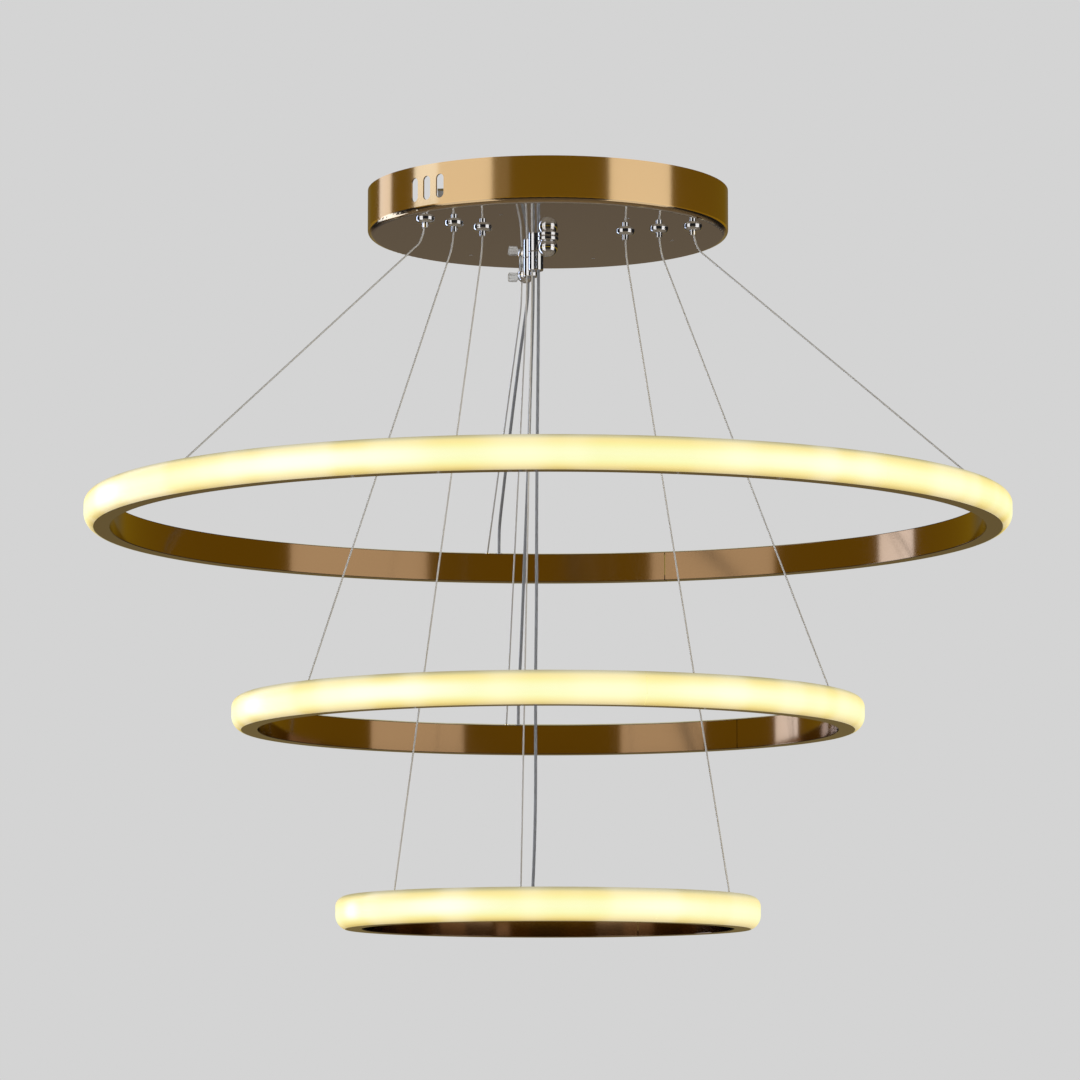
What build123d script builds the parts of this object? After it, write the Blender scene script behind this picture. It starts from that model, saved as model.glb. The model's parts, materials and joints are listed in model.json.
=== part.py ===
"""Chandelier of three glowing rings, hung one below the other on thin steel wires from a round ceiling canopy.

Units are millimetres. The origin is on the ceiling, at the centre of the ceiling bracket. Z points up, so the
whole fitting hangs below Z = 0. X points right and Y points away from a viewer who stands in front of it.

Each ring is a bent aluminium channel that opens outwards, with a light strip inside and a snap-on diffuser of
D-shaped section. Three wires a ring rise to grippers in the canopy's floor, in three straight radial rows. The
rear row also carries the three clear power leads. The canopy is clamped to the ceiling bracket by one centre
stud with a ball nut, and holds a driver for each ring and the terminal block.
"""
import os
from math import asin, cos, degrees, pi, radians, sin, tan

from build123d import *

os.makedirs("parts", exist_ok=True)

# ---- Canopy: a spun shell, open at the ceiling ----
canopy_diameter = 314.0
canopy_height = 40.0
canopy_wall = 1.5
canopy_edge_radius = 5.0
vent_width = 8.0
vent_height = 20.5
vent_spacing = 14.4
vents_per_group = 3
vent_azimuths = (229.0, 49.0)

# ---- Ceiling bracket and centre stud ----
bracket_length = 192.0
bracket_width = 30.0
bracket_thickness = 2.0
bracket_offset = 9.0
bracket_foot = 42.0
mount_spacing = 150.0
mount_slot_width = 5.0
mount_slot_length = 22.0
stud_diameter = 6.0
stud_top_gap = 2.5
stud_end_gap = 1.0
stud_chamfer = 0.6
nut_across_flats = 10.0
nut_height = 5.0
nut_corner = 0.6
washer_diameter = 18.6
washer_thickness = 3.8
washer_edge_radius = 1.0
ball_nut_diameter = 17.0
ball_nut_height = 14.0
ball_nut_wall = 3.4

# ---- The three rings: outer diameter, depth of the bottom face below the ceiling, place of the grippers ----
row_azimuth = 98.5
wires_per_ring = 3
large_diameter = 800.0
medium_diameter = 544.0
small_diameter = 364.0
large_drop = 299.0
medium_drop = 472.0
small_drop = 642.0
gripper_edge_distance = 23.0
gripper_spacing = 31.0
large_seam_azimuth = 73.0
medium_seam_azimuth = 47.0
small_seam_azimuth = 60.0

# ---- Ring section, alike on all three ----
profile_depth = 22.5
profile_height = 28.0
channel_height = 26.5
channel_wall = 1.8
bottom_flange = 14.2
top_flange = 11.0
seam_gap = 0.3
diffuser_wall = 1.4
diffuser_top_radius = 9.0
diffuser_belly_height = 12.0
diffuser_foot = 2.4
cover_lengths = 3
cover_joint_gap = 0.2
strip_height = 10.0
strip_thickness = 1.2
strip_break = 3.0
strip_backing = 0.3
splice_length = 60.0
splice_width = 8.0
splice_thickness = 3.0
splice_inset = 1.0

# ---- Wire grippers in the canopy floor ----
wire_diameter = 1.5
gripper_diameter = 16.0
gripper_rim = 1.2
gripper_dome = 3.8
gripper_mouth = 8.0
gripper_dome_bulge = 0.9
shank_diameter = 10.0
shank_length = 12.0
shank_nut_across_flats = 14.0
shank_nut_height = 4.0
nozzle_diameter = 5.4
nozzle_exposed = 4.3
nozzle_inside = 4.0
nozzle_travel = 2.0
nozzle_relief = 1.0
nozzle_edge = 0.5
wire_grip_depth = 6.0
wire_bend_inset = 1.6

# ---- Rear row: cord grips which pass a wire and a power lead each ----
lead_diameter = 2.8
cord_grip_diameter = 13.4
cord_grip_length = 17.0
cord_grip_edge_radius = 0.8
cord_grip_wire_offset = 3.3
cord_grip_lead_offset = 2.4
clamp_collar_diameter = 12.0
clamp_collar_length = 7.0
clamp_ball_diameter = 15.0
clamp_screw_diameter = 8.4
clamp_screw_length = 8.0
clamp_screw_edge = 0.6
clamp_screw_shank = 4.0
clamp_screw_drop = 2.5

# ---- Fittings in a ring's top flange ----
anchor_inset = 5.0
anchor_head_diameter = 5.8
anchor_head = 0.8
anchor_shank = 4.4
anchor_barrel_diameter = 6.0
anchor_barrel = 5.0
wire_seat_depth = 1.6
grommet_offset = 11.0
grommet_diameter = 6.2
grommet_flange = 1.0
grommet_neck = 5.0

# ---- Electrical gear on the canopy floor ----
driver_length = 118.0
driver_width = 36.0
driver_height = 21.0
driver_corner = 4.0
driver_top_edge = 1.5
driver_edge_distance = 62.0
driver_ear = 9.0
driver_ear_width = 22.0
driver_ear_height = 3.0
driver_screw_diameter = 3.5
driver_screw_head = 6.5
driver_screw_head_height = 2.2
driver_screw_crown = 1.2
driver_screw_end_gap = 0.2
terminal_length = 34.0
terminal_width = 18.0
terminal_height = 14.0
terminal_body_height = 9.8
terminal_corner = 1.5
terminal_radius = 34.0
terminal_poles = 3
terminal_pole_diameter = 5.0
terminal_pole_depth = 5.6
terminal_pole_wall = 1.75
terminal_entry_diameter = 3.2
terminal_entry_height = 4.2

# ---- Clearances ----
thread_clearance = 0.1
hole_clearance = 0.3
wire_clearance = 0.3
seat_clearance = 0.1

# A bend in a wire or lead uses this share of the shorter straight run beside it.
bend_share = 0.45

# ---- Sizes worked out from those above ----
canopy_radius = canopy_diameter / 2
outer_grippers = canopy_radius - gripper_edge_distance
floor_underside = -canopy_height
floor_top = floor_underside + canopy_wall
gripper_exit = floor_underside - gripper_dome - nozzle_exposed
cord_grip_exit = floor_underside - cord_grip_length
wire_start = floor_underside + wire_grip_depth
driver_radius = canopy_radius - driver_edge_distance
rear = Vector(cos(radians(row_azimuth)), sin(radians(row_azimuth)))
rear_side = Vector(rear.Y, -rear.X)

RINGS = {
    "large": (large_diameter / 2, large_drop, outer_grippers, large_seam_azimuth),
    "medium": (medium_diameter / 2, medium_drop, outer_grippers - gripper_spacing, medium_seam_azimuth),
    "small": (small_diameter / 2, small_drop, outer_grippers - 2 * gripper_spacing, small_seam_azimuth),
}
ROWS = {"rear": 0, "left": 1, "right": 2}
STANDING = (Align.CENTER, Align.CENTER, Align.MIN)

# Each power lead's route, as (distance from the canopy's axis, height, distance to the right of its wire).
# Heights are below the ceiling. The first and last runs are straight out of the cord grip and into the grommet.
LEAD_ROUTES = {
    "large": [
        (134.0, 42.0, 5.7), (134.0, 66.0, 5.7), (148.0, 84.0, 5.2), (186.0, 116.0, 4.6),
        (233.0, 155.0, 5.0), (282.0, 193.0, 5.9), (326.0, 222.0, 7.6), (364.0, 240.0, 9.8),
        (382.5, 253.0, 11.0), (382.5, 275.5, 11.0),
    ],
    "medium": [
        (103.0, 42.0, 5.7), (103.0, 70.0, 5.7), (113.0, 96.0, 6.4), (136.0, 147.0, 7.4),
        (159.0, 201.0, 8.8), (182.5, 258.0, 9.4), (205.0, 315.0, 9.9), (228.0, 368.0, 10.6),
        (246.5, 405.0, 11.1), (254.5, 427.0, 11.0), (254.5, 448.5, 11.0),
    ],
    "small": [
        (72.0, 42.0, 5.7), (72.0, 74.0, 5.7), (79.0, 118.0, 6.3), (89.5, 175.0, 6.9),
        (98.5, 234.0, 7.3), (109.0, 293.0, 8.2), (118.0, 352.0, 9.2), (128.0, 411.0, 9.4),
        (137.0, 470.0, 10.6), (147.0, 528.0, 11.6), (157.5, 576.0, 11.4), (164.5, 600.0, 11.0),
        (164.5, 618.5, 11.0),
    ],
}


def save(name, solids):
    """Write one sub-part, which is a solid or a list of separate solids, to its own file."""
    shape = Compound(children=list(solids)) if isinstance(solids, list) else solids
    export_step(shape, f"parts/{name}.step")


def place(radius, azimuth, z=0.0, side=0.0):
    """Point at a distance from the axis in a direction, moved sideways to the right as seen from outside."""
    along = Vector(cos(radians(azimuth)), sin(radians(azimuth)))
    return Vector(along.X * radius + along.Y * side, along.Y * radius - along.X * side, z)


def row_azimuth_of(row):
    """Direction of a row of grippers from the canopy's axis."""
    return row_azimuth + ROWS[row] * 360 / wires_per_ring


def disc(diameter, bottom, top, centre=Vector(0, 0)):
    """Upright cylinder between two heights."""
    return Pos(centre.X, centre.Y, bottom) * Cylinder(diameter / 2, top - bottom, align=STANDING)


def hexagon(across_flats, bottom, top, bore, centre=Vector(0, 0)):
    """Hexagon nut between two heights, with a chamfered outer edge and a plain bore."""
    nut = extrude(RegularPolygon(across_flats / 2, 6, major_radius=False), top - bottom)
    crown = Cylinder(across_flats / 2 + nut_corner, top - bottom, align=STANDING)
    nut = nut & chamfer(crown.edges().filter_by(GeomType.CIRCLE), nut_corner)
    return Pos(centre.X, centre.Y, bottom) * nut - disc(bore, bottom, top, centre)


def anchor_place(ring, row):
    """Centre of a wire's anchor on top of a ring's channel."""
    radius, drop, _, _ = RINGS[ring]
    azimuth = row_azimuth_of(row)
    return place(radius - profile_depth + anchor_inset, azimuth, channel_height - drop)


def grommet_place(ring):
    """Centre of the power lead's grommet, beside the rear anchor."""
    return anchor_place(ring, "rear") + rear_side * grommet_offset


def gripper_place(ring, row):
    """Where a wire passes the canopy's floor: in the rear row it stands left of the cord grip's centre."""
    azimuth = row_azimuth_of(row)
    centre = place(RINGS[ring][2], azimuth)
    return centre - rear_side * cord_grip_wire_offset if row == "rear" else centre


def wire_path(ring, row):
    """A wire's line: straight down out of its gripper, one bend, then straight into its anchor's bore. The bend
    is as close under the gripper as lets its arc begin only a little way inside the mouth."""
    top = gripper_place(ring, row)
    exit_height = cord_grip_exit if row == "rear" else gripper_exit
    bend_drop = (bend_share * (wire_start - exit_height) - wire_bend_inset) / (1 - bend_share)
    bend = Vector(top.X, top.Y, exit_height - bend_drop)
    target = anchor_place(ring, row) + Vector(0, 0, anchor_head)
    slope = (target - bend).normalized()
    end = target + slope * wire_seat_depth
    turn = slope.get_angle(Vector(0, 0, -1))
    start = Vector(top.X, top.Y, wire_start)
    radius = bend_share * (start - bend).length / tan(radians(turn) / 2)
    return FilletPolyline(start, bend, end, radius=radius), slope


# ---- Canopy ----
def canopy_shell():
    """Spun cup with a rounded lower edge, vent slots in its wall and holes for everything that hangs from it."""
    outside = disc(canopy_diameter, floor_underside, 0)
    outside = fillet(outside.edges().filter_by(GeomType.CIRCLE).group_by(Axis.Z)[0], canopy_edge_radius)
    inside = disc(canopy_diameter - 2 * canopy_wall, floor_top, 0)
    inside = fillet(
        inside.edges().filter_by(GeomType.CIRCLE).group_by(Axis.Z)[0], canopy_edge_radius - canopy_wall
    )
    shell = outside - inside
    for middle in vent_azimuths:
        for k in range(vents_per_group):
            step = degrees(vent_spacing / canopy_radius)
            azimuth = middle + (k - (vents_per_group - 1) / 2) * step
            slot = SlotOverall(vent_height, vent_width)
            cutter = extrude(slot, 4 * canopy_edge_radius)
            # the slot's sketch is turned upright, with its length along Z, then pushed out through the wall
            upright = Rot(0, 90, 0) * cutter
            centre = place(canopy_radius - 2 * canopy_edge_radius, azimuth, -canopy_height / 2)
            shell -= Pos(*centre) * Rot(0, 0, azimuth) * upright
    shell -= disc(stud_diameter + 2 * hole_clearance, floor_underside, floor_top)
    for ring in RINGS:
        for row in ROWS:
            azimuth = row_azimuth_of(row)
            hole = place(RINGS[ring][2], azimuth)
            shell -= disc(shank_diameter + 2 * hole_clearance, floor_underside, floor_top, hole)
    for k in range(3):
        for ear in (-1, 1):
            pilot = driver_screw_diameter - 2 * hole_clearance
            shell -= disc(pilot, floor_underside, floor_top, driver_screw(k, ear))
    return shell


def ceiling_bracket():
    """Steel strap folded down between its two feet. Each foot has a slot for a ceiling screw."""
    half = bracket_length / 2
    fold = half - bracket_foot
    low = -bracket_offset
    top = [(-half, 0), (-fold, 0), (-fold + bracket_offset, low)]
    top += [(-x, z) for x, z in reversed(top)]
    # the sloping parts keep the strap's thickness, so its lower bends shift along the strap
    shift = bracket_thickness * tan(pi / 8)
    bottom = [(-half, 0), (-fold - shift, 0), (-fold + bracket_offset - shift, low)]
    bottom = [(x, z - bracket_thickness) for x, z in bottom]
    bottom += [(-x, z) for x, z in reversed(bottom)]
    outline = Polyline(*[(x, 0, z) for x, z in top + bottom[::-1]], close=True)
    strap = extrude(make_face(outline), bracket_width / 2, both=True, dir=(0, 1, 0))
    for side in (-1, 1):
        slot = extrude(SlotOverall(mount_slot_length, mount_slot_width), -bracket_thickness)
        strap -= Pos(side * mount_spacing / 2, 0, 0) * slot
    return strap - disc(stud_diameter + 2 * thread_clearance, low - bracket_thickness, low)


def centre_fixing():
    """Threaded stud, its two bracket nuts, the washer under the canopy and the truncated ball nut below it."""
    washer_bottom = floor_underside - washer_thickness
    ball_bottom = washer_bottom - ball_nut_height
    bore = stud_diameter + 2 * thread_clearance
    stud = disc(stud_diameter, ball_bottom + ball_nut_wall + stud_end_gap, -stud_top_gap)
    stud = chamfer(stud.edges().filter_by(GeomType.CIRCLE), stud_chamfer)
    under_strap = -bracket_offset - bracket_thickness
    nuts = [
        hexagon(nut_across_flats, -bracket_offset, -bracket_offset + nut_height, bore),
        hexagon(nut_across_flats, under_strap - nut_height, under_strap, bore),
    ]
    washer = disc(washer_diameter, washer_bottom, floor_underside)
    washer = fillet(washer.edges().filter_by(GeomType.CIRCLE), washer_edge_radius)
    washer -= disc(bore, washer_bottom, floor_underside)
    ball = Pos(0, 0, ball_bottom + ball_nut_diameter / 2) * Sphere(ball_nut_diameter / 2)
    ball &= disc(ball_nut_diameter, ball_bottom, washer_bottom)
    ball -= disc(bore, ball_bottom + ball_nut_wall, washer_bottom)
    save("centre_stud", stud)
    save("bracket_nuts", nuts)
    save("centre_washer", washer)
    save("ball_nut", ball)


# ---- Electrical gear ----
def driver_azimuth(k):
    """Direction of a driver's middle, halfway between two rows of grippers."""
    return row_azimuth + 180 + k * 120


def driver_screw(k, ear):
    """Centre of a driver's screw, in the ear at one of its ends."""
    return place(driver_radius, driver_azimuth(k), 0, ear * (driver_length / 2 - driver_ear / 2))


def driver(k):
    """Plastic driver case between two screw ears, lying on the canopy's floor along a chord."""
    base = floor_top + seat_clearance
    case = Box(driver_width, driver_length - 2 * driver_ear, driver_height, align=STANDING)
    case = fillet(case.edges().filter_by(Axis.Z), driver_corner)
    case = chamfer(case.faces().sort_by(Axis.Z)[-1].edges(), driver_top_edge)
    ears = Box(driver_ear_width, driver_length, driver_ear_height, align=STANDING)
    ears = fillet(ears.edges().filter_by(Axis.Z), driver_corner)
    azimuth = driver_azimuth(k)
    whole = Pos(*place(driver_radius, azimuth, base)) * Rot(0, 0, azimuth) * (case + ears)
    for ear in (-1, 1):
        hole = driver_screw_diameter + 2 * hole_clearance
        whole -= disc(hole, base, base + driver_ear_height, driver_screw(k, ear))
    return whole


def driver_screws():
    """Pan-head screws, one in each driver ear."""
    seat = floor_top + seat_clearance + driver_ear_height
    screws = []
    for k in range(3):
        for ear in (-1, 1):
            centre = driver_screw(k, ear)
            head = disc(driver_screw_head, seat, seat + driver_screw_head_height, centre)
            head = fillet(head.edges().filter_by(GeomType.CIRCLE).sort_by(Axis.Z)[-1], driver_screw_crown)
            shank_width = driver_screw_diameter - 2 * hole_clearance - 2 * thread_clearance
            screws.append(head + disc(shank_width, floor_underside + driver_screw_end_gap, seat, centre))
    return screws


def terminal_block():
    """Row of screw terminals in a plastic body, with a round screw tower over each pole."""
    base = floor_top + seat_clearance
    body = Box(terminal_width, terminal_length, terminal_body_height, align=STANDING)
    body = fillet(body.edges().filter_by(Axis.Z), terminal_corner)
    for k in range(terminal_poles):
        y = (k - (terminal_poles - 1) / 2) * terminal_length / terminal_poles
        pole = Vector(0, y)
        body += disc(terminal_pole_diameter + 2 * terminal_pole_wall, 0, terminal_height, pole)
        body -= disc(terminal_pole_diameter, terminal_height - terminal_pole_depth, terminal_height, pole)
        entry = Rot(0, 90, 0) * Cylinder(terminal_entry_diameter / 2, 2 * terminal_width)
        body -= Pos(0, y, terminal_entry_height) * entry
    azimuth = driver_azimuth(0)
    return Pos(*place(terminal_radius, azimuth, base)) * Rot(0, 0, azimuth) * body


# ---- Grippers and cord grips ----
def gripper(ring, row):
    """Domed gripper body with a threaded shank through the canopy's floor, bored for the nozzle and the wire."""
    mouth = floor_underside - gripper_dome
    rim = floor_underside - gripper_rim
    outline = Polyline((0, 0, mouth), (0, 0, floor_underside), (gripper_diameter / 2, 0, floor_underside),
                       (gripper_diameter / 2, 0, rim))
    dome_top, dome_end = Vector(gripper_diameter / 2, 0, rim), Vector(gripper_mouth / 2, 0, mouth)
    chord = dome_end - dome_top
    outward = Vector(-chord.Z, 0, chord.X).normalized()
    dome = ThreePointArc(dome_top, (dome_top + dome_end) / 2 + outward * gripper_dome_bulge, dome_end)
    lower = Line((gripper_mouth / 2, 0, mouth), (0, 0, mouth))
    body = revolve(make_face(outline + dome + lower), Axis.Z)
    body += disc(shank_diameter, floor_underside, floor_underside + shank_length)
    guide_top = mouth + nozzle_inside + nozzle_travel + nozzle_relief
    body -= disc(nozzle_diameter + 2 * hole_clearance, mouth, guide_top)
    body -= disc(wire_diameter + 2 * wire_clearance, guide_top, floor_underside + shank_length)
    centre = gripper_place(ring, row)
    return Pos(centre.X, centre.Y) * body


def release_nozzle(ring, row):
    """Short sleeve round the wire. Pushed up, it frees the wire so that the ring can be lowered."""
    mouth = floor_underside - gripper_dome
    sleeve = disc(nozzle_diameter, mouth - nozzle_exposed, mouth + nozzle_inside)
    sleeve = chamfer(sleeve.edges().filter_by(GeomType.CIRCLE).sort_by(Axis.Z)[0], nozzle_edge)
    sleeve -= disc(wire_diameter + 2 * wire_clearance, mouth - nozzle_exposed, mouth + nozzle_inside)
    centre = gripper_place(ring, row)
    return Pos(centre.X, centre.Y) * sleeve


def shank_nuts():
    """Thin hexagon nuts that hold the grippers and cord grips from inside the canopy."""
    bottom = floor_top + seat_clearance
    bore = shank_diameter + 2 * thread_clearance
    top = bottom + shank_nut_height
    return [
        hexagon(shank_nut_across_flats, bottom, top, bore, place(RINGS[ring][2], row_azimuth_of(row)))
        for ring in RINGS
        for row in ROWS
    ]


def wire_and_lead_bores(ring, bottom, top):
    """The two holes through a rear fitting: the wire's on the left, the power lead's on the right."""
    centre = place(RINGS[ring][2], row_azimuth)
    wire_place = centre - rear_side * cord_grip_wire_offset
    lead_place = centre + rear_side * cord_grip_lead_offset
    wire_hole = disc(wire_diameter + 2 * wire_clearance, bottom, top, wire_place)
    return wire_hole + disc(lead_diameter + 2 * wire_clearance, bottom, top, lead_place)


def cord_grip(ring):
    """Plain barrel with a threaded shank, which passes a wire and a lead."""
    centre = place(RINGS[ring][2], row_azimuth)
    barrel = disc(cord_grip_diameter, cord_grip_exit, floor_underside, centre)
    barrel = fillet(barrel.edges().filter_by(GeomType.CIRCLE), cord_grip_edge_radius)
    barrel += disc(shank_diameter, floor_underside, floor_underside + shank_length, centre)
    return barrel - wire_and_lead_bores(ring, cord_grip_exit, floor_underside + shank_length)


def clamp_grip():
    """The large ring's rear fitting: a clear collar, and a domed nut with a side screw that pinches the lead."""
    centre = place(outer_grippers, row_azimuth)
    ball_middle = cord_grip_exit + clamp_ball_diameter / 2
    collar_bottom = floor_underside - clamp_collar_length
    collar = disc(clamp_collar_diameter, collar_bottom, floor_underside, centre)
    collar += disc(shank_diameter, floor_underside, floor_underside + shank_length, centre)
    collar -= wire_and_lead_bores("large", collar_bottom, floor_underside + shank_length)
    ball = Pos(centre.X, centre.Y, ball_middle) * Sphere(clamp_ball_diameter / 2)
    ball -= disc(clamp_ball_diameter, collar_bottom - seat_clearance, floor_underside, centre)
    ball -= wire_and_lead_bores("large", cord_grip_exit - hole_clearance, floor_underside)
    side = Pos(centre.X, centre.Y, ball_middle - clamp_screw_drop) * Rot(0, 0, row_azimuth - 90)
    screw_seat = clamp_ball_diameter / 2 + seat_clearance
    axis_turn = Rot(0, -90, 0)
    grip = Pos(-screw_seat, 0, 0) * axis_turn * Cylinder(
        clamp_screw_diameter / 2, clamp_screw_length, align=STANDING
    )
    grip = chamfer(grip.edges().filter_by(GeomType.CIRCLE), clamp_screw_edge)
    shank_end = cord_grip_wire_offset + wire_diameter
    shank = Pos(-shank_end, 0, 0) * axis_turn * Cylinder(
        clamp_screw_shank / 2, screw_seat - shank_end, align=STANDING
    )
    hole = Pos(-shank_end + seat_clearance, 0, 0) * axis_turn * Cylinder(
        clamp_screw_shank / 2 + thread_clearance, screw_seat, align=STANDING
    )
    ball -= side * hole
    save("clamp_collar", collar)
    save("clamp_ball_nut", ball)
    save("clamp_screw", side * (grip + shank))


# ---- Rings ----
def ring_channel(ring):
    """Channel that opens outwards: an inner wall with a wide bottom flange and a narrower top flange."""
    radius, drop, _, seam = RINGS[ring]
    inner = radius - profile_depth
    outline = [
        (inner, 0), (inner + bottom_flange, 0), (inner + bottom_flange, channel_wall),
        (inner + channel_wall, channel_wall), (inner + channel_wall, channel_height - channel_wall),
        (inner + top_flange, channel_height - channel_wall), (inner + top_flange, channel_height),
        (inner, channel_height),
    ]
    face = make_face(Polyline(*[(r, 0, z) for r, z in outline], close=True))
    # the bent bar's two ends meet at the seam with a hairline gap
    gap = degrees(seam_gap / inner)
    bar = revolve(face, Axis.Z, 360 - gap)
    channel = Pos(0, 0, -drop) * Rot(0, 0, seam + gap / 2) * bar
    top = channel_height - drop
    for row in ROWS:
        hole = anchor_place(ring, row)
        channel -= disc(anchor_shank + 2 * hole_clearance, top - channel_wall, top, hole)
    return channel - disc(grommet_neck + 2 * hole_clearance, top - channel_wall, top, grommet_place(ring))


def ring_diffuser(ring):
    """Milky cover of D-shaped section that sits on both of the channel's flanges, in lengths butted end to end."""
    radius, drop, _, seam = RINGS[ring]
    lip = radius - profile_depth + bottom_flange
    bottom = channel_wall + seat_clearance
    bulge = radius - lip
    # the belly arc is upright at its top and ends at the lip
    rise = diffuser_belly_height - bottom
    belly = (bulge**2 + rise**2) / (2 * bulge)
    belly_end = degrees(asin(rise / belly))
    inner_belly = belly - diffuser_wall
    foot_top = bottom + diffuser_wall
    inner_end = degrees(asin((diffuser_belly_height - foot_top) / inner_belly))
    top_left = radius - profile_depth + top_flange - diffuser_foot
    crown = radius - diffuser_top_radius
    shoulder = profile_height - diffuser_top_radius
    inner_top = diffuser_top_radius - diffuser_wall
    lid_underside = profile_height - diffuser_wall
    inner_foot = lip - diffuser_foot

    def on_arc(x, z, r, angle):
        return (x + r * cos(radians(angle)), 0, z + r * sin(radians(angle)))

    def arc(x, z, r, first, last):
        middle = (first + last) / 2
        return ThreePointArc(on_arc(x, z, r, first), on_arc(x, z, r, middle), on_arc(x, z, r, last))

    belly_x = radius - belly
    outside = (
        Line((top_left, 0, profile_height), (crown, 0, profile_height))
        + arc(crown, shoulder, diffuser_top_radius, 90, 0)
        + Line((radius, 0, shoulder), (radius, 0, diffuser_belly_height))
        + arc(belly_x, diffuser_belly_height, belly, 0, -belly_end)
        + Line((lip, 0, bottom), (inner_foot, 0, bottom))
    )
    inside_start = on_arc(belly_x, diffuser_belly_height, inner_belly, -inner_end)
    inside = (
        Polyline((inner_foot, 0, bottom), (inner_foot, 0, foot_top), inside_start)
        + arc(belly_x, diffuser_belly_height, inner_belly, -inner_end, 0)
        + Line((radius - diffuser_wall, 0, diffuser_belly_height), (radius - diffuser_wall, 0, shoulder))
        + arc(crown, shoulder, inner_top, 0, 90)
        + Polyline((crown, 0, lid_underside), (top_left, 0, lid_underside), (top_left, 0, profile_height))
    )
    turn = 360 / cover_lengths
    gap = degrees(cover_joint_gap / radius)
    length = revolve(make_face(outside + inside), Axis.Z, turn - gap)
    first = Pos(0, 0, -drop) * Rot(0, 0, seam + gap / 2)
    return [first * Rot(0, 0, k * turn) * length for k in range(cover_lengths)]


def led_strip(ring):
    """Band of light-emitting diodes on the channel's inner wall, facing the diffuser."""
    radius, drop, _, seam = RINGS[ring]
    back = radius - profile_depth + channel_wall + strip_backing
    low = (channel_height - strip_height) / 2
    band = make_face(Polyline(
        (back, 0, low), (back + strip_thickness, 0, low), (back + strip_thickness, 0, low + strip_height),
        (back, 0, low + strip_height), close=True,
    ))
    break_angle = degrees(strip_break / back)
    return Pos(0, 0, -drop) * Rot(0, 0, seam + break_angle / 2) * revolve(band, Axis.Z, 360 - break_angle)


def splice_plate(ring):
    """Curved plate on the bottom flange that bridges the channel's seam."""
    radius, drop, _, seam = RINGS[ring]
    near = radius - profile_depth + channel_wall + splice_inset
    low = channel_wall + seat_clearance
    bar = make_face(Polyline(
        (near, 0, low), (near + splice_width, 0, low), (near + splice_width, 0, low + splice_thickness),
        (near, 0, low + splice_thickness), close=True,
    ))
    sweep_angle = degrees(splice_length / near)
    return Pos(0, 0, -drop) * Rot(0, 0, seam - sweep_angle / 2) * revolve(bar, Axis.Z, sweep_angle)


def wire_anchors(ring):
    """Turned anchors in the top flange, each bored along its wire's slope to take the wire's end."""
    anchors = []
    for row in ROWS:
        centre = anchor_place(ring, row)
        top = centre.Z
        under = top - channel_wall - seat_clearance
        body = disc(anchor_head_diameter, top, top + anchor_head, centre)
        body += disc(anchor_shank, under, top, centre)
        body += disc(anchor_barrel_diameter, under - anchor_barrel, under, centre)
        _, slope = wire_path(ring, row)
        mouth = centre + Vector(0, 0, anchor_head)
        bore = Plane(origin=mouth - slope * anchor_barrel, z_dir=slope) * Cylinder(
            wire_diameter / 2 + wire_clearance, anchor_barrel + wire_seat_depth + wire_clearance,
            align=STANDING,
        )
        anchors.append(body - bore)
    return anchors


def lead_grommet(ring):
    """Clear plastic grommet round the power lead where it enters the top flange."""
    centre = grommet_place(ring)
    top = centre.Z
    flange = disc(grommet_diameter, top, top + grommet_flange, centre)
    neck = disc(grommet_neck, top - channel_wall, top, centre)
    bore = disc(lead_diameter + 2 * seat_clearance, top - channel_wall, top + grommet_flange, centre)
    return flange + neck - bore


def ring_wires(ring):
    """The three wires of one ring, each a round wire swept along its line."""
    wires = []
    for row in ROWS:
        path, _ = wire_path(ring, row)
        section = Plane(origin=path @ 0, z_dir=path % 0) * Circle(wire_diameter / 2)
        wire = sweep(section, path)
        wires.append(wire)
        expected = pi * wire_diameter**2 / 4 * path.length
        print(f"{ring} {row} wire: {path.length:.1f} long, volume ratio {wire.volume / expected:.4f}")
    return wires


def lead_points(ring):
    """The power lead's route in the object's own frame."""
    wire_top = gripper_place(ring, "rear")
    spread = cord_grip_wire_offset
    # the wire's own sideways place runs from its hole in the cord grip to the ring's anchor
    first, last = RINGS[ring][2], RINGS[ring][0] - profile_depth + anchor_inset
    points = []
    for radius, depth, side in LEAD_ROUTES[ring]:
        share = (radius - first) / (last - first)
        points.append(rear * radius + rear_side * (side - spread * (1 - share)) + Vector(0, 0, -depth))
    return points


def power_lead(ring):
    """Clear two-core lead from its cord grip to the ring's grommet, as straight runs joined by tangent arcs."""
    points = lead_points(ring)
    radii = []
    for before, here, after in zip(points, points[1:], points[2:]):
        run_in, run_out = here - before, after - here
        turn = radians(run_in.get_angle(run_out))
        radii.append(bend_share * min(run_in.length, run_out.length) / tan(turn / 2))
    path = FilletPolyline(*points, radius=radii)
    lead = sweep(Plane(origin=path @ 0, z_dir=path % 0) * Circle(lead_diameter / 2), path)
    expected = pi * lead_diameter**2 / 4 * path.length
    print(f"{ring} lead: {path.length:.1f} long, volume ratio {lead.volume / expected:.4f}")
    print("  bend radii", [round(r) for r in radii], "least in diameters", round(min(radii) / lead_diameter, 1))
    return lead


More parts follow.
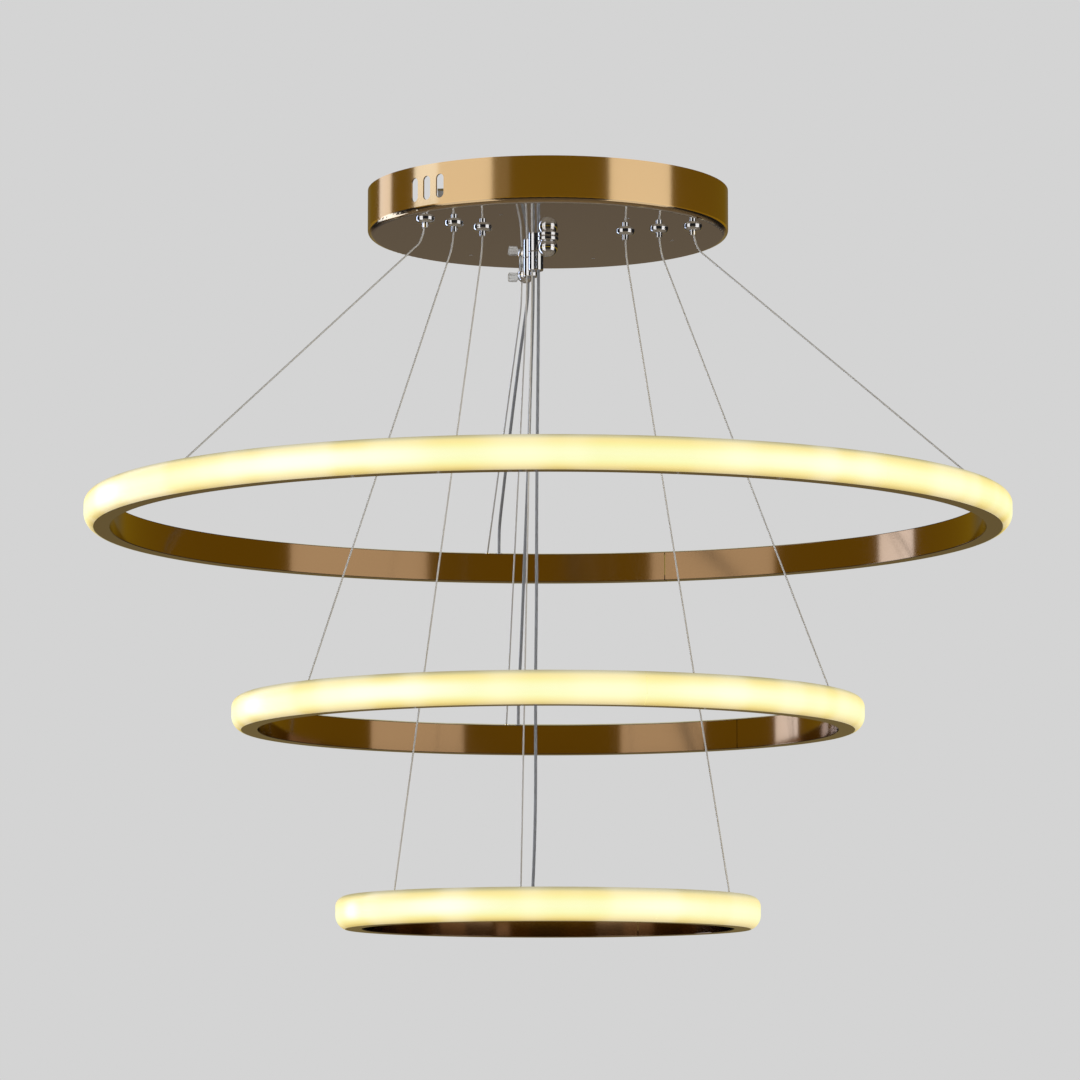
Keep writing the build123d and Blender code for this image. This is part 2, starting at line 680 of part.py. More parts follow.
save("canopy_shell", canopy_shell())
save("ceiling_bracket", ceiling_bracket())
centre_fixing()
save("driver_screws", driver_screws())
save("terminal_block", terminal_block())
save("shank_nuts", shank_nuts())
save("cord_grip_medium", cord_grip("medium"))
save("cord_grip_small", cord_grip("small"))
clamp_grip()
for number, ring_name in enumerate(RINGS):
    save(f"driver_{ring_name}", driver(number))
    save(f"grippers_{ring_name}", [gripper(ring_name, row) for row in ("left", "right")])
    for row in ("left", "right"):
        save(f"release_nozzle_{ring_name}_{row}", release_nozzle(ring_name, row))
    save(f"ring_channel_{ring_name}", ring_channel(ring_name))
    save(f"ring_diffuser_{ring_name}", ring_diffuser(ring_name))
    save(f"led_strip_{ring_name}", led_strip(ring_name))
    save(f"splice_plate_{ring_name}", splice_plate(ring_name))
    save(f"wire_anchors_{ring_name}", wire_anchors(ring_name))
    save(f"lead_grommet_{ring_name}", lead_grommet(ring_name))
    save(f"wires_{ring_name}", ring_wires(ring_name))
    save(f"power_lead_{ring_name}", power_lead(ring_name))
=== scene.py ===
# %% [markdown]
# # A chandelier of three glowing rings
#
# The fitting hangs from the ceiling: a round canopy, three rings one below the other, thin steel wires and
# clear power leads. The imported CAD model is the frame, and its bodies say what moves. Here the pieces get
# their finishes, and those that show most are made again on finer surfaces.

import json
import math

import bpy
import numpy as np
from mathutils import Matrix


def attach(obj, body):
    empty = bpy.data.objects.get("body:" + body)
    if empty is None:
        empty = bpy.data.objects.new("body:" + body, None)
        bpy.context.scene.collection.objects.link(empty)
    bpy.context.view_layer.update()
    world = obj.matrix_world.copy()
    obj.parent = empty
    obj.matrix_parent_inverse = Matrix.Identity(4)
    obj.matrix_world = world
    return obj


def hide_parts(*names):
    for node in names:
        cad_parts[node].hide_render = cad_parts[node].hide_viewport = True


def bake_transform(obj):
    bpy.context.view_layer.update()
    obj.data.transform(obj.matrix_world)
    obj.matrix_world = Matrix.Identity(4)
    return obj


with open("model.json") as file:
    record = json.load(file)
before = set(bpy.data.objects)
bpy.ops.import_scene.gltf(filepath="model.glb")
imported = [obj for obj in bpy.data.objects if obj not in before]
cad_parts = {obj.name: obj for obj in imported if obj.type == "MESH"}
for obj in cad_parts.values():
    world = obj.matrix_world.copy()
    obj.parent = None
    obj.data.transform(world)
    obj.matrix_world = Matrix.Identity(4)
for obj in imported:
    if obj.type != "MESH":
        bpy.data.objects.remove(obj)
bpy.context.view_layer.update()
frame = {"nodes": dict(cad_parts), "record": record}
nodes = frame["nodes"]
collection = bpy.context.scene.collection

# %% [markdown]
# ## The camera
#
# The picture was taken from far away with a long lens, a little below the lowest ring and tilted up, so the
# rings look like flat ellipses. A long lens is a narrow angle: its focal length and distance were found
# together from the widths and heights of the rings.

# %% Place the camera
camera_place = (-0.0069, -4.064, -0.811)
camera_tilt = 97.083
camera_data = bpy.data.cameras.new("camera")
camera_data.sensor_width = 36.0
camera_data.lens = 157.9
camera = bpy.data.objects.new("camera", camera_data)
camera.location = camera_place
camera.rotation_euler = (math.radians(camera_tilt), 0, 0)
collection.objects.link(camera)
bpy.context.scene.camera = camera
print("lens", round(camera_data.lens, 1), "mm, tilted up by", round(camera_tilt - 90, 1), "degrees")

# %% [markdown]
# ## Sizes that the pieces share
#
# The three rings have one section, so each ring is told apart by its radius, the height of its bottom, the
# direction of its seam and how far from the axis its wires leave the canopy. The ceiling is at height 0. The
# wires leave the canopy in three straight rows, each in one direction from the axis.

# %% Write the shared sizes
MM = 0.001
RINGS = {
    "large": {"radius": 400 * MM, "bottom": -299 * MM, "seam": 73, "gripper": 134 * MM},
    "medium": {"radius": 272 * MM, "bottom": -472 * MM, "seam": 47, "gripper": 103 * MM},
    "small": {"radius": 182 * MM, "bottom": -642 * MM, "seam": 60, "gripper": 72 * MM},
}
ROWS = {"rear": 98.5, "left": 218.5, "right": 338.5}
section_depth = 22.5 * MM
channel_height = 26.5 * MM
bottom_flange = 14.2 * MM
anchor_inset = 5.0 * MM
cord_grip_wire_offset = 3.3 * MM


def towards(azimuth):
    """Unit vector along the floor: the cosine and the sine of the direction's angle from the X axis."""
    return np.array([math.cos(math.radians(azimuth)), math.sin(math.radians(azimuth)), 0.0])


def beside(azimuth):
    """Unit vector a quarter turn clockwise from a direction: to the right, as one looks out from the axis."""
    return np.array([math.sin(math.radians(azimuth)), -math.cos(math.radians(azimuth)), 0.0])


def anchor_of(ring, row):
    """Where a wire enters its ring: on the top of the channel, above its inner part."""
    size = RINGS[ring]
    reach = size["radius"] - section_depth + anchor_inset
    return towards(ROWS[row]) * reach + np.array([0, 0, size["bottom"] + channel_height])


print({ring: np.round(anchor_of(ring, "rear"), 4).tolist() for ring in RINGS})

# %% [markdown]
# ## Surfaces from grids
#
# Every new piece is a grid of points, worked out as one array. Rows follow a profile and columns follow a
# path or a turn, so a quad joins each point with its neighbours. The grid's own two directions become the UV
# map, which lets a finish follow the surface. Modelling by hand with curves and modifiers would give the same
# forms, but an array states the formula of each surface in one line.

# %% Turn a grid of points into a piece
def grid_piece(name, points, material, round_rows=False, round_columns=False, along=None, crease=35, parts=1):
    """Piece from points of shape (parts, rows, columns, 3). A closed direction joins its last line to its
    first, and where only one direction is closed, the two open ends get a cap. In the UV map, V runs over the
    rows from 0 to 1, and U over the columns from 0 to 1 or by the values in along."""
    points = np.asarray(points, float).reshape(parts, *np.shape(points)[-3:])
    rows, columns = points.shape[1:3]
    r, c = np.indices((rows - (not round_rows), columns - (not round_columns)))
    corner_rows = np.stack([r, r, r + 1, r + 1], -1).reshape(-1, 4)
    corner_columns = np.stack([c, c + 1, c + 1, c], -1).reshape(-1, 4)
    quads = (corner_rows % rows) * columns + corner_columns % columns
    u = np.linspace(0, 1, columns + round_columns) if along is None else np.asarray(along)
    v = np.linspace(0, 1, rows + round_rows)
    uv = np.stack([u[corner_columns], v[corner_rows]], -1).reshape(-1, 2)
    order = np.arange(rows * columns).reshape(rows, columns)
    caps = []
    if round_rows and not round_columns:
        caps = [order[:, 0], order[::-1, -1]]
    if round_columns and not round_rows:
        caps = [order[0, ::-1], order[-1]]
    cap_uvs = [np.stack([u[cap % columns], v[cap // columns]], 1) for cap in caps]
    faces, uvs = [], []
    for first in range(0, parts * rows * columns, rows * columns):
        faces += (quads + first).tolist() + [(cap + first).tolist() for cap in caps]
        uvs += [uv, *cap_uvs]
    mesh = bpy.data.meshes.new(name)
    mesh.from_pydata(points.reshape(-1, 3).tolist(), [], faces)
    layer = mesh.uv_layers.new(name="surface")
    layer.data.foreach_set("uv", np.concatenate(uvs).astype(np.float32).ravel())
    mesh.materials.append(material)
    mesh.shade_smooth()
    mesh.set_sharp_from_angle(angle=math.radians(crease))
    piece = bpy.data.objects.new(name, mesh)
    collection.objects.link(piece)
    return piece


def turned(profile, first, last, steps):
    """Profile points (distance from the axis, height) turned about Z between two angles in degrees: each
    point is (distance x cosine, distance x sine, height). Rows are profile points and columns are angles."""
    angle = np.radians(np.linspace(first, last, steps))
    distance, height = profile[:, :1], profile[:, 1:]
    return np.stack([distance * np.cos(angle), distance * np.sin(angle), height + 0 * angle], -1)


def rounded(corners, radius, steps=5):
    """Closed outline with each corner replaced by an arc that touches both sides: its centre lies on the
    corner's half-angle line, at radius / sine of half the angle between the sides."""
    corners = np.asarray(corners, float)
    back = np.roll(corners, 1, 0) - corners
    ahead = np.roll(corners, -1, 0) - corners
    back /= np.linalg.norm(back, axis=1)[:, None]
    ahead /= np.linalg.norm(ahead, axis=1)[:, None]
    half = np.arccos(np.clip((back * ahead).sum(1), -1, 1)) / 2
    middle = (back + ahead) / np.linalg.norm(back + ahead, axis=1)[:, None]
    radius = np.broadcast_to(radius, half.shape)
    centre = corners + middle * (radius / np.sin(half))[:, None]
    start = corners + back * (radius / np.tan(half))[:, None] - centre
    side = np.sign(back[:, 0] * ahead[:, 1] - back[:, 1] * ahead[:, 0])[:, None]
    across = np.stack([-start[:, 1], start[:, 0]], 1) * -side
    angle = np.linspace(0, 1, steps)[None, :, None] * (math.pi - 2 * half)[:, None, None]
    arcs = centre[:, None] + np.cos(angle) * start[:, None] + np.sin(angle) * across[:, None]
    return arcs.reshape(-1, 2)


def supported(outline, distance):
    """Closed outline with two more points on each long side, a small distance from its ends. Smooth shading
    then bends only at the corners and leaves the sides flat: a side from A to B gets A + distance x direction
    and B - distance x direction."""
    ahead = np.roll(outline, -1, 0) - outline
    length = np.linalg.norm(ahead, axis=1)[:, None]
    step = ahead / length * distance
    points = np.stack([outline, outline + step, outline + ahead - step], 1)
    kept = np.hstack([length > 0, length > 4 * distance, length > 4 * distance])
    return points[kept]


print("corner of a test square:", np.round(rounded([(0, 0), (1, 0), (1, 1), (0, 1)], 0.1, 2), 2).tolist()[:2])

# %% [markdown]
# ## Finishes
#
# Real metal and plastic are never quite even: a lacquer varies a little in colour, a polished plate has soft
# smears, a moulded part has a fine grain. One node group gives all of them that variation, and each finish
# uses it with its own colours and depths. It puts out a colour, a roughness and a normal, and the shader
# stays in the finish itself.

# %% Build the shared variation group
def new_group(name, inputs, outputs):
    """Node group with float, colour or vector sockets: inputs maps a name to its kind and default."""
    group = bpy.data.node_groups.new(name, "ShaderNodeTree")
    for label, (kind, value) in inputs.items():
        socket = group.interface.new_socket(label, in_out="INPUT", socket_type=kind)
        socket.default_value = value
    for label, kind in outputs.items():
        group.interface.new_socket(label, in_out="OUTPUT", socket_type=kind)
    return group, group.nodes.new("NodeGroupInput"), group.nodes.new("NodeGroupOutput")


def math_node(tree, operation, *values):
    """Math node whose inputs are linked where a value is a socket, and set where it is a number."""
    node = tree.nodes.new("ShaderNodeMath")
    node.operation = operation
    for socket, value in zip(node.inputs, values):
        if isinstance(value, bpy.types.NodeSocket):
            tree.links.new(value, socket)
        else:
            socket.default_value = value
    return node.outputs[0]


def mix_colour(tree, share, first, second):
    """Colour that goes from the first to the second as share goes from 0 to 1."""
    node = tree.nodes.new("ShaderNodeMix")
    node.data_type = "RGBA"
    for socket, value in zip((node.inputs[0], node.inputs[6], node.inputs[7]), (share, first, second)):
        if isinstance(value, bpy.types.NodeSocket):
            tree.links.new(value, socket)
        else:
            socket.default_value = value
    return node.outputs[2]


def smooth_share(tree, value, low, high):
    """Share that rises smoothly from 0 to 1 as value goes from low to high."""
    node = tree.nodes.new("ShaderNodeMapRange")
    node.interpolation_type = "SMOOTHSTEP"
    tree.links.new(value, node.inputs["Value"])
    node.inputs["From Min"].default_value = low
    node.inputs["From Max"].default_value = high
    return node.outputs[0]


FLOAT = "NodeSocketFloat"
COLOUR = "NodeSocketColor"
VECTOR = "NodeSocketVector"
bump_depth = 0.2 * MM
variation, enter, leave = new_group(
    "surface_variation",
    {
        "Scale": (FLOAT, 40.0),
        "Stretch": (VECTOR, (1.0, 1.0, 1.0)),
        "Base": (COLOUR, (0.5, 0.5, 0.5, 1)),
        "Tone": (COLOUR, (0.4, 0.4, 0.4, 1)),
        "Smooth": (FLOAT, 0.2),
        "Rough": (FLOAT, 0.3),
        "Grain": (FLOAT, 0.05),
        "Grain Scale": (FLOAT, 900.0),
    },
    {"Color": COLOUR, "Roughness": FLOAT, "Normal": VECTOR},
)
place = variation.nodes.new("ShaderNodeTexCoord")
stretch = variation.nodes.new("ShaderNodeVectorMath")
stretch.operation = "MULTIPLY"
variation.links.new(place.outputs["Object"], stretch.inputs[0])
variation.links.new(enter.outputs["Stretch"], stretch.inputs[1])
clouds = variation.nodes.new("ShaderNodeTexNoise")
clouds.inputs["Detail"].default_value = 3.0
variation.links.new(stretch.outputs[0], clouds.inputs["Vector"])
variation.links.new(enter.outputs["Scale"], clouds.inputs["Scale"])
grain = variation.nodes.new("ShaderNodeTexNoise")
grain.inputs["Detail"].default_value = 2.0
variation.links.new(stretch.outputs[0], grain.inputs["Vector"])
variation.links.new(enter.outputs["Grain Scale"], grain.inputs["Scale"])
colour = mix_colour(variation, clouds.outputs["Fac"], enter.outputs["Base"], enter.outputs["Tone"])
spread = math_node(variation, "SUBTRACT", enter.outputs["Rough"], enter.outputs["Smooth"])
roughness = math_node(variation, "MULTIPLY_ADD", clouds.outputs["Fac"], spread, enter.outputs["Smooth"])
bump = variation.nodes.new("ShaderNodeBump")
bump.inputs["Distance"].default_value = bump_depth
variation.links.new(grain.outputs["Fac"], bump.inputs["Height"])
variation.links.new(enter.outputs["Grain"], bump.inputs["Strength"])
variation.links.new(colour, leave.inputs["Color"])
variation.links.new(roughness, leave.inputs["Roughness"])
variation.links.new(bump.outputs[0], leave.inputs["Normal"])
print("group", variation.name, "has", len(variation.nodes), "nodes")

# %% [markdown]
# A finish is then a few numbers: its two tones, how smooth and how rough it gets, its grain, and what the
# shader needs besides, such as metal or clear plastic. On the real fitting the rings have a dark gold lacquer
# and the canopy a brighter one, the small fittings are chromed brass, and what hides in the canopy is
# zinc-plated steel and moulded plastic.

# %% Make the plain finishes
def finish(name, base, tone, smooth, rough, grain=0.05, scale=40.0, grain_scale=900.0,
           stretch=(1, 1, 1), **shader_values):
    """Material with the variation group in front of one Principled shader. Other values go to its sockets."""
    material = bpy.data.materials.new(name)
    material.use_nodes = True
    tree = material.node_tree
    shader = tree.nodes["Principled BSDF"]
    group = tree.nodes.new("ShaderNodeGroup")
    group.node_tree = variation
    for label, value in {"Scale": scale, "Stretch": stretch, "Base": (*base, 1), "Tone": (*tone, 1),
                         "Smooth": smooth, "Rough": rough, "Grain": grain,
                         "Grain Scale": grain_scale}.items():
        group.inputs[label].default_value = value
    tree.links.new(group.outputs["Color"], shader.inputs["Base Color"])
    tree.links.new(group.outputs["Roughness"], shader.inputs["Roughness"])
    tree.links.new(group.outputs["Normal"], shader.inputs["Normal"])
    for label, value in shader_values.items():
        shader.inputs[label.replace("_", " ")].default_value = value
    material.diffuse_color = (*base, 1)
    return material


ring_gold = finish("ring_lacquer", (0.285, 0.188, 0.110), (0.265, 0.172, 0.098), 0.08, 0.11, grain=0.02,
                   scale=9.0, grain_scale=500.0, Metallic=1.0)
canopy_gold = finish("canopy_lacquer", (0.615, 0.448, 0.258), (0.585, 0.42, 0.236), 0.12, 0.15, grain=0.02,
                     scale=9.0, grain_scale=500.0, Metallic=1.0)
chrome = finish("chrome_plate", (0.90, 0.90, 0.91), (0.84, 0.84, 0.85), 0.03, 0.07, grain=0.01, scale=60.0,
                Metallic=1.0)
zinc = finish("zinc_plate", (0.62, 0.63, 0.64), (0.50, 0.51, 0.53), 0.28, 0.42, grain=0.10, scale=90.0,
              Metallic=1.0)
mill_metal = finish("mill_aluminium", (0.72, 0.72, 0.73), (0.62, 0.62, 0.63), 0.30, 0.42, grain=0.15,
                    scale=70.0, stretch=(1, 1, 12), Metallic=1.0)
case_plastic = finish("driver_case", (0.80, 0.80, 0.78), (0.74, 0.74, 0.72), 0.42, 0.52, grain=0.25,
                      scale=50.0, grain_scale=1400.0)
nylon = finish("terminal_nylon", (0.78, 0.77, 0.72), (0.70, 0.69, 0.64), 0.38, 0.46, grain=0.15, scale=80.0,
               Subsurface_Weight=0.1)
clear_plastic = finish("clear_plastic", (0.93, 0.93, 0.91), (0.88, 0.88, 0.86), 0.08, 0.16, grain=0.05,
                       scale=120.0, Transmission_Weight=0.85, IOR=1.49)
lead_plastic = finish("lead_sheath", (0.46, 0.47, 0.49), (0.38, 0.39, 0.41), 0.10, 0.18, grain=0.05,
                      scale=120.0, Transmission_Weight=0.55, IOR=1.49)
core_metal = finish("tinned_core", (0.74, 0.74, 0.73), (0.55, 0.55, 0.54), 0.25, 0.40, grain=0.3, scale=700.0,
                    grain_scale=2500.0, Metallic=1.0)
plain_finishes = [ring_gold, canopy_gold, chrome, zinc, mill_metal, case_plastic, nylon, clear_plastic,
                  lead_plastic, core_metal]
print("finishes:", [material.name for material in plain_finishes])

# %% [markdown]
# The canopy's round wall is lacquered gold, while its flat underside is polished, nearly neutral metal and
# works as a mirror. Two materials would need the shell cut in two. One material with a mask keeps it whole:
# the height in the object's own coordinates tells wall and underside apart, within the rounded edge.

# %% Polish the canopy's underside
canopy_underside = -40.0 * MM
edge_start = 0.1 * MM
edge_height = 1.2 * MM
mirror_colour = (0.86, 0.83, 0.80, 1)
mirror_roughness = 0.04
tree = canopy_gold.node_tree
shader = tree.nodes["Principled BSDF"]
canopy_place = tree.nodes.new("ShaderNodeTexCoord")
parts = tree.nodes.new("ShaderNodeSeparateXYZ")
tree.links.new(canopy_place.outputs["Object"], parts.inputs[0])
wall_foot = canopy_underside + edge_start
wall_whole = canopy_underside + edge_height
on_wall = smooth_share(tree, parts.outputs["Z"], wall_foot, wall_whole)
lacquer = shader.inputs["Base Color"].links[0].from_socket
lacquer_roughness = shader.inputs["Roughness"].links[0].from_socket
plate = mix_colour(tree, on_wall, mirror_colour, lacquer)
tree.links.new(plate, shader.inputs["Base Color"])
softer = math_node(tree, "MULTIPLY", lacquer_roughness, on_wall)
tree.links.new(math_node(tree, "MAXIMUM", softer, mirror_roughness), shader.inputs["Roughness"])
print("polished below", round(wall_whole, 4), "m")

# %% [markdown]
# ## The power leads
#
# One clear lead a ring carries its power, from a fitting in the canopy's rear row to a grommet beside the
# rear wire. It is a little longer than the straight way between its ends, so it hangs in a slow curve beside
# the wire. Its line is one smooth spline led by the route's points, which are the same as in the CAD model.

# %% Write the routes of the leads
# (distance from the canopy's axis, height below the ceiling, distance to the right of its wire), in mm
LEAD_ROUTES = {
    "large": [
        (134.0, 42.0, 5.7), (134.0, 66.0, 5.7), (148.0, 84.0, 5.2), (186.0, 116.0, 4.6),
        (233.0, 155.0, 5.0), (282.0, 193.0, 5.9), (326.0, 222.0, 7.6), (364.0, 240.0, 9.8),
        (382.5, 253.0, 11.0), (382.5, 275.5, 11.0),
    ],
    "medium": [
        (103.0, 42.0, 5.7), (103.0, 70.0, 5.7), (113.0, 96.0, 6.4), (136.0, 147.0, 7.4),
        (159.0, 201.0, 8.8), (182.5, 258.0, 9.4), (205.0, 315.0, 9.9), (228.0, 368.0, 10.6),
        (246.5, 405.0, 11.1), (254.5, 427.0, 11.0), (254.5, 448.5, 11.0),
    ],
    "small": [
        (72.0, 42.0, 5.7), (72.0, 74.0, 5.7), (79.0, 118.0, 6.3), (89.5, 175.0, 6.9),
        (98.5, 234.0, 7.3), (109.0, 293.0, 8.2), (118.0, 352.0, 9.2), (128.0, 411.0, 9.4),
        (137.0, 470.0, 10.6), (147.0, 528.0, 11.6), (157.5, 576.0, 11.4), (164.5, 600.0, 11.0),
        (164.5, 618.5, 11.0),
    ],
}


def lead_route(ring):
    """The route in the object's frame, where a point's side is measured from the wire's own sloping line."""
    size = RINGS[ring]
    radius, depth, side = np.array(LEAD_ROUTES[ring]).T * MM
    first, last = size["gripper"], size["radius"] - section_depth + anchor_inset
    share = (radius - first) / (last - first)
    side = side - cord_grip_wire_offset * (1 - share)
    across = side[:, None] * beside(ROWS["rear"])
    return radius[:, None] * towards(ROWS["rear"]) + across - depth[:, None] * np.array([0, 0, 1])


def spline_points(name, controls, resolution=12):
    """Points along a smooth open NURBS spline with these control points, read from a curve with no bevel."""
    curve = bpy.data.curves.new(name, "CURVE")
    curve.dimensions = "3D"
    curve.resolution_u = resolution
    spline = curve.splines.new("NURBS")
    spline.points.add(len(controls) - 1)
    for point, control in zip(spline.points, controls):
        point.co = (*control, 1)
    spline.order_u = 3
    spline.use_endpoint_u = True
    carrier = bpy.data.objects.new(name, curve)
    collection.objects.link(carrier)
    line = bpy.data.meshes.new_from_object(carrier)
    points = np.array([v.co for v in line.vertices])
    bpy.data.objects.remove(carrier)
    bpy.data.meshes.remove(line)
    return points


def length_of(points):
    """Length of a line: the sum of the distances from each point to the next."""
    return float(np.linalg.norm(np.diff(points, axis=0), axis=1).sum())


lead_lines = {ring: spline_points(f"lead_line_{ring}", lead_route(ring)) for ring in RINGS}
print("leads, in metres:", {ring: round(length_of(line), 4) for ring, line in lead_lines.items()})

# %% [markdown]
# A real lead like this is a clear sheath over two tinned cores that twist slowly round each other. Each of
# these round pieces is a circle carried along the lead's line. For the cores, the circle's centre also turns
# round the line, once in every pitch of the twist. A curve with a round bevel can't do that, so the tube is
# worked out here.

# %% Carry a circle along a line
lead_diameter = 2.8 * MM
core_diameter = 0.95 * MM
core_offset = 0.56 * MM
twist_pitch = 24 * MM


def tube(line, diameter, sides=12, offset=None, steady=None):
    """Grid round a line: at each point a circle lies in the plane square to the line. Its first axis is one
    steady direction with its part along the line taken out, and its second axis is square to both. An offset
    of shape (points, 2), in those axes, moves each circle's centre off the line."""
    ahead = np.gradient(line, axis=0)
    ahead /= np.linalg.norm(ahead, axis=1)[:, None]
    steady = beside(ROWS["rear"]) if steady is None else steady
    first = steady - (ahead @ steady)[:, None] * ahead
    first /= np.linalg.norm(first, axis=1)[:, None]
    second = np.cross(first, ahead)
    centre = line if offset is None else line + offset[:, :1] * first + offset[:, 1:] * second
    angle = np.linspace(0, 2 * math.pi, sides, endpoint=False)[:, None, None]
    return centre + (np.cos(angle) * first + np.sin(angle) * second) * diameter / 2


def tube_piece(name, line, diameter, material, along=None, **shape):
    """Closed tube along a line. Rows go round it and columns go along it, and both ends are capped."""
    return grid_piece(name, tube(line, diameter, **shape), material, round_rows=True, along=along)


for ring, line in lead_lines.items():
    along = np.concatenate([[0], np.cumsum(np.linalg.norm(np.diff(line, axis=0), axis=1))])
    twist = 2 * math.pi * along / twist_pitch
    sheath = tube_piece(f"lead_sheath_{ring}", line, lead_diameter, lead_plastic, sides=16)
    cores = []
    for number, start_angle in enumerate((0, math.pi)):
        offset = core_offset * np.stack([np.cos(twist + start_angle), np.sin(twist + start_angle)], 1)
        cores.append(tube_piece(f"lead_core_{ring}_{number + 1}", line, core_diameter, core_metal,
                                sides=8, offset=offset))
    for piece in (sheath, *cores):
        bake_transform(piece)
    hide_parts(f"power_lead_{ring}")

# %% [markdown]
# ## The suspension wires
#
# Three stranded steel wires hold each ring. The strands are thinner than a pixel from where one stands, so
# their lay is in the finish and not in the mesh: slanted ridges that follow the UV map round and along the
# wire.

# %% Make the stranded finish
stranded = finish("stranded_steel", (0.86, 0.85, 0.82), (0.78, 0.77, 0.74), 0.38, 0.48, grain=0.1,
                  scale=300.0, Metallic=0.7)
tree = stranded.node_tree
wire_uv = tree.nodes.new("ShaderNodeUVMap")
wire_uv.uv_map = "surface"
parts = tree.nodes.new("ShaderNodeSeparateXYZ")
tree.links.new(wire_uv.outputs[0], parts.inputs[0])
strand_count = 6.0
ridge_strength = 0.2
turns = math_node(tree, "MULTIPLY_ADD", parts.outputs["Y"], strand_count, parts.outputs["X"])
ridge = math_node(tree, "SINE", math_node(tree, "MULTIPLY", turns, 2 * math.pi))
strands = tree.nodes.new("ShaderNodeBump")
strands.inputs["Distance"].default_value = bump_depth
strands.inputs["Strength"].default_value = ridge_strength
tree.links.new(ridge, strands.inputs["Height"])
tree.links.new(strands.outputs[0], tree.nodes["Principled BSDF"].inputs["Normal"])
print("strands round a wire:", strand_count)

# %% [markdown]
# A wire leaves its gripper straight down, turns once and runs dead straight to the ring, because it carries
# the ring's weight. The mesh has circles of points only round the turn and at the far end, with nothing
# between, so the wire stays straight when the ring is set to another height.

# %% Hang the wires
wire_diameter = 1.5 * MM
wire_start = -34.0 * MM
gripper_exit = {"rear": -57.0 * MM, "left": -48.1 * MM, "right": -48.1 * MM}
bend_share = 0.45
wire_bend_inset = 1.6 * MM
strand_pitch = 1.8 * MM
anchor_head = 0.8 * MM
wire_seat_depth = 1.6 * MM


def wire_route(ring, row):
    """Straight down from the gripper to the bend, then straight to the anchor. The point after the bend is as
    far from it as the point before, so that the long run stays straight. The bend is as close under the
    gripper as lets its arc begin only a little way inside the mouth."""
    top = towards(ROWS[row]) * RINGS[ring]["gripper"]
    if row == "rear":
        top = top - beside(ROWS["rear"]) * cord_grip_wire_offset
    start = top + np.array([0, 0, wire_start])
    drop = (bend_share * (wire_start - gripper_exit[row]) - wire_bend_inset) / (1 - bend_share)
    bend = top + np.array([0, 0, gripper_exit[row] - drop])
    target = anchor_of(ring, row) + np.array([0, 0, anchor_head])
    slope = (target - bend) / np.linalg.norm(target - bend)
    after = bend + slope * np.linalg.norm(start - bend)
    return np.array([start, bend, after, target + slope * wire_seat_depth])


wire_lengths = {}
for ring in RINGS:
    for row in ROWS:
        route = wire_route(ring, row)
        line = spline_points(f"wire_line_{ring}_{row}", route, resolution=16)
        bend_end = (route[1] + route[2]) / 2
        bent = int(np.argmin(np.linalg.norm(line - bend_end, axis=1))) + 1
        kept = np.concatenate([line[:bent], line[-1:]])
        passed = np.concatenate([[0], np.cumsum(np.linalg.norm(np.diff(kept, axis=0), axis=1))])
        wire = tube_piece(f"wire_{ring}_{row}", kept, wire_diameter, stranded, sides=12,
                          steady=beside(ROWS[row]), along=passed / strand_pitch)
        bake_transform(wire)
        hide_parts(f"wires_{ring}")
        wire_lengths[f"{ring} {row}"] = round(length_of(line), 4)
print("wires, in metres:", wire_lengths)

# %% [markdown]
# ## The ring channels
#
# A channel is an aluminium bar bent to a ring that opens outwards: a tall inner wall, a wide bottom flange
# and a narrower top one. Its section is drawn once, with small rounded edges that catch the light as a bent
# and lacquered bar's do, and turned round the axis. A bevel on a sharp mesh would give such edges too, but
# here the flat sides get supporting points, so that they mirror the room without a bend. The bar's two ends
# leave a narrow gap at the seam.

# %% Turn the channels
wall = 1.8 * MM
top_flange = 11.0 * MM
edge_radius = 0.55 * MM
seam_gap = 0.8 * MM
channel_steps = 361


def channel_outline(inner, bottom):
    """Corners of the channel's section, counter-clockwise, with the flanges pointing away from the axis."""
    corners = np.array([
        (0, 0), (bottom_flange, 0), (bottom_flange, wall), (wall, wall), (wall, channel_height - wall),
        (top_flange, channel_height - wall), (top_flange, channel_height), (0, channel_height),
    ])
    outline = rounded(corners + np.array([inner, bottom]), edge_radius, steps=4)
    return supported(outline, edge_radius / 3)


for ring, size in RINGS.items():
    inner = size["radius"] - section_depth
    gap = math.degrees(seam_gap / inner)
    points = turned(channel_outline(inner, size["bottom"]), size["seam"] + gap / 2,
                    size["seam"] + 360 - gap / 2, channel_steps)
    channel = grid_piece(f"channel_{ring}", points, ring_gold, round_rows=True)
    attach(channel, f"{ring}_ring")
    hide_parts(f"ring_channel_{ring}")

# %% [markdown]
# ## The glowing covers
#
# The cover is a milky plastic strip of D-shaped section. The diodes sit halfway up inside, so the middle of
# the cover is nearly white and its upper and lower edges are warmer and darker. Real light behind real milky
# plastic takes long to render without noise. A colour ramp across the section, read from the UV map, gives
# the same glow at once.

